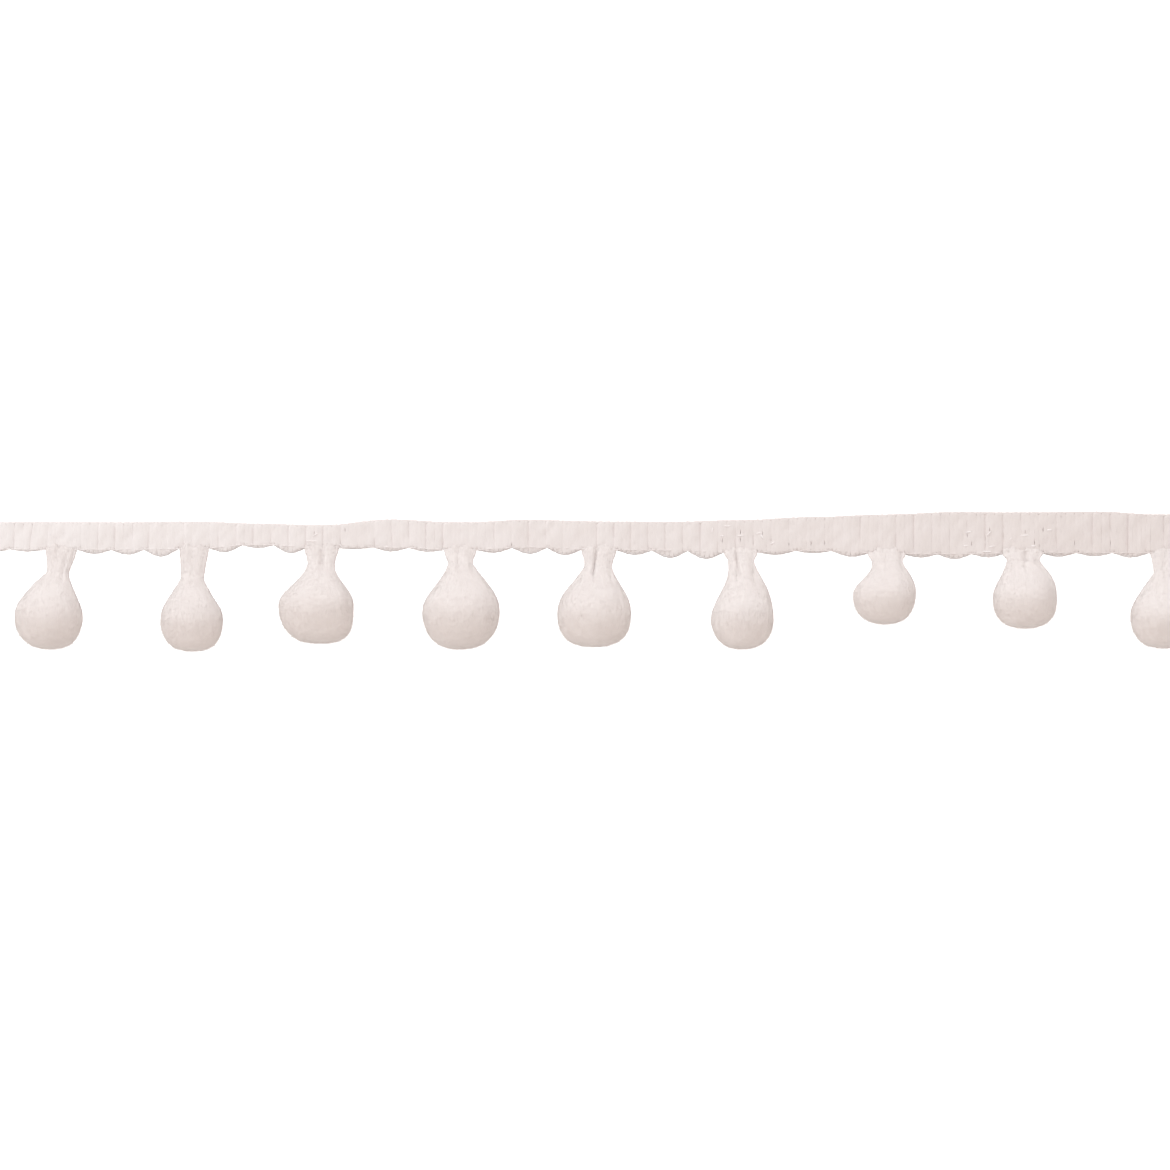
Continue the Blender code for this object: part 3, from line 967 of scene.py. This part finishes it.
def leg_points(tape, x, lean, chance):
    """The places of one leg of the weft yarn, from the lower edge of the tape to the upper: x, y,
    how far it has sunk towards the back, and its size."""
    low, high = tape.low_at(x) + LOWER_INSET, tape.high_at(x) - LEG_RADIUS - UPPER_INSET
    base = tape.base_at(x)
    steps = max(int((high - low) / LEG_STEP), LEG_STEPS_LEAST)
    phase, sway = LEG_PHASES * chance.random(), stray(chance, SWAY)
    points = []
    for index in range(steps + 1):
        share = index / steps
        y = low + (high - low) * share
        under = float(ease((base + THREAD_PAST - y) / SINK_EASE))
        size = 1.0 + LEG_WAVE * math.sin(y / MM * LEG_WAVES + phase) - SUNK_THINNING * under
        place = x + lean * (share - 0.5) + sway * math.sin(math.pi * share)
        for hole_x, hole_y in PINHOLES:
            aside, along = place / MM - hole_x, y / MM - hole_y
            if abs(aside) < GAP_FELT_ACROSS and abs(along) < GAP_FELT_ALONG:
                near = math.exp(-((aside / GAP_WIDTH) ** 2) - (along / GAP_HEIGHT) ** 2)
                place += math.copysign(GAP_PUSH * near, aside)
                size -= GAP_THINNING * near
        if index == 0:
            points.append((place, y - LEG_TIP, under, size * LEG_TIP_SIZE))
        points.append((place, y, under, size * LEG_END_SIZES[min(index, 2)]))
    return points


def group_edge(group):
    """The x of the groove before a group of ribs."""
    places_x, counts = zip(*GROUP_MARKS)
    return float(np.interp(group, counts, places_x)) * MM


GROUP_COUNT = GROUP_MARKS[-1][1]
GROUP_EDGES = [group_edge(group) for group in range(GROUP_COUNT + 1)]


def lean_at(x):
    """How far the top of a rib leans along the tape."""
    return sum(
        reach * MM * math.exp(-(((x / MM - middle) / wide) ** 2)) for middle, wide, reach in LEANS
    )


def new_path(name):
    """A curve that has no points yet."""
    bpy.ops.object.select_all(action="DESELECT")
    bpy.ops.curve.primitive_nurbs_path_add()
    piece = bpy.context.view_layer.objects.active
    piece.name = name
    piece.data.splines.clear()
    piece.data.dimensions = "3D"
    return piece


def add_run(piece, run, sizes):
    """Adds a run of yarn to a path, with its size at each point."""
    spline = piece.data.splines.new("POLY")
    spline.points.add(len(run) - 1)
    for point, place, size in zip(spline.points, run, sizes):
        point.co = (*place, 1.0)
        point.radius = size


def thicken(piece, radius, flatness=1.0):
    """Makes a path a closed yarn of this radius, pressed to its flatness."""
    piece.data.bevel_depth = radius
    piece.data.bevel_resolution = YARN_SIDES
    piece.data.use_fill_caps = True
    only(piece)
    bpy.ops.object.convert(target="MESH")
    piece.location = (0.0, 0.0, 0.0)
    piece.scale = (1.0, 1.0, flatness)
    settled(piece)
    edit(piece, lambda: bpy.ops.mesh.remove_doubles(threshold=TINY))
    return piece


def make_ribs(tape):
    """The weft yarn: it runs up and down across the tape in pairs of legs that turn round at the
    upper edge."""
    piece = new_path("tape_ribs")
    chance = random.Random(RIB_SEED)
    middle = (RIB_TOP + RIB_LOW) / 2
    flatness = (RIB_TOP - RIB_LOW) / (2 * LEG_RADIUS)
    for index in range(GROUP_COUNT * RIBS_IN_GROUP):
        start = group_edge(index / RIBS_IN_GROUP)
        end = group_edge((index + 1) / RIBS_IN_GROUP)
        x = (start + end) / 2 + stray(chance, RIB_STRAY)
        lean = lean_at(x) + stray(chance, LEAN_STRAY)
        apart = LEG_APART * (end - start) + stray(chance, APART_STRAY)
        thick = LEG_THICKNESS + THICKNESS_STRAY * chance.random()
        left = leg_points(tape, x - apart, lean, chance)
        right = leg_points(tape, x + apart, lean, chance)
        top = (left[-1][1] + right[-1][1]) / 2
        bow = [
            (
                x + lean / 2 + apart * math.cos(angle),
                top + apart * BOW_HEIGHT * math.sin(angle),
                0.0,
                BOW_SIZE,
            )
            for angle in BOW_ANGLES
        ]
        path = left + bow + right[::-1]
        run = [(px, py, (middle - SINK * under) / flatness) for px, py, under, _ in path]
        add_run(piece, run, [size * thick for *_, size in path])
    thicken(piece, LEG_RADIUS, flatness)
    flatten_face(piece)
    return piece


def ridge(x, middle, reach):
    """1 at the middle, and less and less past the reach."""
    return math.exp(-(((x - middle) / reach) ** 2))


def cloud(x, y, size, level):
    """Soft noise of a size across and along the tape, read at one of its levels."""
    return noise.noise(Vector((x / size[0], y / size[1], level)))


def face_at(x, y):
    """How much of a rib's roundness stays at a place on the tape's face, and how far the face as a
    whole has sunk there."""
    nearest = min(range(GROUP_COUNT + 1), key=lambda group: abs(GROUP_EDGES[group] - x))
    edge = GROUP_EDGES[nearest]
    half = group_edge(nearest + (0.5 if x > edge else -0.5))
    patch = cloud(x, y, PATCH_SIZE, 0.5)
    strong = STRONG + STRONG_VARIES * cloud(edge, y, GROOVE_SIZE, 4.5)
    faint = FAINT + FAINT_VARIES * cloud(half, y, GROOVE_SIZE, 8.5)
    slant = cloud(x - SLANT * y, y, SLANT_SIZE, 2.5)
    slant_sink = SLANT_SINK + SLANT_MORE * float(ease((MORE_FROM - x) / MORE_EASE))
    sunk = EVEN_SINK + PATCH_SINK * patch + slant_sink * slant
    sunk += strong * ridge(x, edge, BROAD_GROOVE)
    groove = max(strong, STRONG_LEAST) * ridge(x, edge, GROUP_GROOVE)
    groove += max(faint, 0.0) * ridge(x, half, RIB_GROOVE)
    return ROUND_LEFT + ROUND_VARIES * patch + groove, sunk


def flatten_face(piece):
    """Presses the ribs' face nearly flat, and keeps a faint groove between ribs and a deeper one
    between groups of ribs, some more than others."""
    found = places(piece)
    down = np.maximum(RIB_TOP - found[:, 2], 0.0)
    round_share, sunk = np.empty(len(found)), np.empty(len(found))
    for index, (x, y, _) in enumerate(found):
        upright = x - lean_at(x) * (y - LEAN_LEVEL) / LEAN_REACH
        round_share[index], sunk[index] = face_at(upright, y)
    kept = round_share + (1 - np.minimum(round_share, 1)) * ease(down / ROUND_EDGE)
    found[:, 2] = np.where(found[:, 2] < RIB_TOP, RIB_TOP - down * kept, RIB_TOP)
    found[:, 2] -= BROAD_DEPTH * sunk * ease(found[:, 2] / RIB_TOP)
    found[:, 2] = np.maximum(found[:, 2], 0.0)
    move_to(piece, found)


def make_ground():
    """The thin web inside the ribs, which shows only as the floor of the grooves between them."""
    piece = node_copy("header_tape", "tape_ground")
    found = places(piece)
    middle = sum(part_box("header_tape"), Vector()).y / 2
    found[:, 1] -= np.sign(found[:, 1] - middle) * GROUND_INSET
    found[:, 2] = GROUND_LOW + found[:, 2] * GROUND_FLATNESS
    move_to(piece, found)
    return piece


def yarn_along(points, radius, name):
    """A yarn of one radius through the points."""
    piece = new_path(name)
    add_run(piece, points, [1.0] * len(points))
    return thicken(piece, radius)


def make_edge(name, radius, level, height, seed):
    """A soft yarn that runs the length of the tape; level gives its y at each x."""
    chance = random.Random(seed)
    points = []
    for index in range(EDGE_STEPS + 1):
        x = cad_box[0].x + (cad_box[1].x - cad_box[0].x) * index / EDGE_STEPS
        wave = EDGE_WAVE * math.sin(x / MM * EDGE_WAVES) + stray(chance, EDGE_WAVE)
        points.append((x, level(x) + wave, height))
    return yarn_along(points, radius, name)


def stitch_shape():
    """One short stitch along X, a little arched."""
    bpy.ops.object.select_all(action="DESELECT")
    bpy.ops.mesh.primitive_uv_sphere_add(
        segments=8, ring_count=6, radius=STITCH_LENGTH / 2, rotation=(0.0, math.pi / 2, 0.0)
    )
    stitch = settled(bpy.context.view_layer.objects.active)
    found = places(stitch)
    found[:, 1:] *= STITCH_FLATNESS
    found[:, 2] -= (found[:, 0] / (STITCH_LENGTH / 2)) ** 2 * STITCH_ARCH
    move_to(stitch, found)
    return stitch


def make_stitches():
    """The short stitches that show on the tape's face, joined into one piece."""
    stitch = stitch_shape()
    chance = random.Random(STITCH_SEED)
    row = []
    for dash in DASHES:
        copy = stitch.copy()
        copy.data = stitch.data.copy()
        bpy.context.scene.collection.objects.link(copy)
        copy.location = (dash.x * MM, dash.y * MM, RIB_TOP)
        width = STITCH_WIDTH + STITCH_STRAY * chance.random()
        copy.scale = (dash.length * MM / STITCH_LENGTH, width, 1.0)
        copy.rotation_euler.z = math.radians(dash.turn + stray(chance, STITCH_TURN))
        row.append(copy)
    bpy.data.objects.remove(stitch)
    return settled(joined(row, "face_stitches"))


def make_warp(tape):
    """The fine thread along the base of the scallops, over each rib and down between them."""
    points = []
    for index in range(GROUP_COUNT * RIBS_IN_GROUP * WARP_STEPS + 1):
        x = group_edge(index / (RIBS_IN_GROUP * WARP_STEPS))
        over = math.cos(2 * math.pi * (index / WARP_STEPS - 0.5))
        y = tape.base_at(x) + THREAD_PAST + WARP_WAVE * math.sin(index * WARP_WAVES)
        points.append((x, y, RIB_TOP - WARP_DEPTH + WARP_RADIUS * over))
    return yarn_along(points, WARP_RADIUS, "warp_thread")


def make_tape(tape_hair):
    """The braided tape: its ribs over a thin web, its edge yarns, thread and face stitches."""
    tape = Tape()
    ribs = make_ribs(tape)
    ground = make_ground()
    picots = make_edge(
        "tape_picots",
        PICOT_RADIUS,
        lambda x: tape.low_at(x) + PICOT_RADIUS,
        PICOT_HEIGHT,
        PICOT_SEED,
    )
    selvage = make_edge(
        "selvage",
        SELVAGE_RADIUS,
        lambda x: tape.high_at(x) - SELVAGE_INSET,
        SELVAGE_HEIGHT,
        SELVAGE_SEED,
    )
    warp = make_warp(tape)
    stitches = make_stitches()
    pieces = (ribs, ground, picots, selvage, warp, stitches)
    # The picots take the yarn with painted shade, and the face stitches take the yarn with painted
    # highlight.
    yarns = {picots: SHADED_EDGE_YARN, stitches: LIT_STITCH_YARN}
    for piece in pieces:
        dress(piece, yarns.get(piece, TAPE_YARN), YARN_ANGLE)
    out = normals(ribs)
    lay = out * TAPE_RISE + np.array(TAPE_LAY) * np.where(out[:, 1:2] > -0.01, 1.0, -1.0)
    grow_pile(ribs, tape_hair, TAPE_DENSITY, lay, TAPE_PILE_SEED)
    for piece in pieces:
        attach(piece, "root")
    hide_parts("header_tape")


# ================================ stage ================================


def light_room(scene, side):
    """A warm pale room that grows lighter and cooler all the way round towards its window."""
    world = bpy.data.worlds.new("studio")
    scene.world = world
    world.use_nodes = True
    tree = world.node_tree
    background = tree.nodes["Background"]
    way = added(tree, "ShaderNodeTexCoord")
    facing = added(tree, "ShaderNodeVectorMath", {1: side}, operation="DOT_PRODUCT")
    strength = added(
        tree, "ShaderNodeMath", {1: WINDOW_LIGHT, 2: ROOM_LIGHT}, operation="MULTIPLY_ADD"
    )
    share = added(tree, "ShaderNodeMapRange", {"From Min": -1.0})
    ends = {"A": ROOM_COLOUR, "B": WINDOW_COLOUR}
    colour = added(tree, "ShaderNodeMix", ends, data_type="RGBA")
    wire(
        tree,
        (way, "Generated", facing, 0),
        (facing, "Value", strength, 0),
        (facing, "Value", share, "Value"),
        (share, "Result", colour, "Factor"),
        (colour, "Result", background, "Color"),
        (strength, "Value", background, "Strength"),
    )


def make_stage():
    """A plain pale floor, soft studio light and the camera above."""
    scene = bpy.context.scene
    bpy.ops.mesh.primitive_plane_add(size=FLOOR_SIZE, location=(0.0, 0.0, 0.0))
    floor = bpy.context.view_layer.objects.active
    floor.name = "floor"
    material = bpy.data.materials.new("floor_paper")
    material.use_nodes = True
    tree = material.node_tree
    surface = tree.nodes["Principled BSDF"]
    surface.inputs["Base Color"].default_value = FLOOR_COLOUR
    surface.inputs["Roughness"].default_value = 0.9
    surface.inputs["Specular IOR Level"].default_value = 0.0
    bright = added(tree, "ShaderNodeEmission", {"Color": (1, 1, 1, 1), "Strength": FLOOR_GLOW})
    seen = added(tree, "ShaderNodeLightPath")
    lit = added(tree, "ShaderNodeAddShader")
    which = added(tree, "ShaderNodeMixShader")
    wire(
        tree,
        (surface, "BSDF", lit, 0),
        (bright, "Emission", lit, 1),
        (seen, "Is Camera Ray", which, "Fac"),
        (surface, "BSDF", which, 1),
        (lit, "Shader", which, 2),
        (which, "Shader", tree.nodes["Material Output"], "Surface"),
    )
    floor.data.materials.append(material)

    side = Vector(
        (
            -math.sin(KEY_TURN) * math.cos(KEY_RISE),
            math.cos(KEY_TURN) * math.cos(KEY_RISE),
            math.sin(KEY_RISE),
        )
    )
    light_room(scene, side)
    bpy.ops.object.light_add(type="AREA", location=side * KEY_AWAY)
    key = bpy.context.view_layer.objects.active
    key.name = "window_light"
    key.data.shape = "DISK"
    key.data.size = KEY_SIZE
    key.data.energy = KEY_ENERGY
    key.rotation_euler = (-side).to_track_quat("-Z", "Y").to_euler()

    distance = FRAME_WIDTH * LENS / SENSOR
    bpy.ops.object.camera_add(location=(*FRAME_MIDDLE, distance + FRAME_LEVEL))
    camera = bpy.context.view_layer.objects.active
    camera.data.lens = LENS
    camera.data.sensor_width = SENSOR
    camera.data.clip_start = 0.01
    camera.rotation_euler = (0.0, 0.0, 0.0)
    scene.camera = camera
    scene.view_settings.view_transform = "Standard"


# ================================ the whole trim ================================

bpy.ops.object.select_all(action="DESELECT")
soft_hair = hair("soft_hair", SOFT_HAIR, PILE)
tape_hair = hair("tape_hair", TAPE_HAIR, TAPE_FUZZ)
for number in range(1, POMPOM_COUNT + 1):
    make_pompom(number, soft_hair)
make_tape(tape_hair)
for spare in (soft_hair, tape_hair):
    bpy.data.objects.remove(spare)
make_stage()
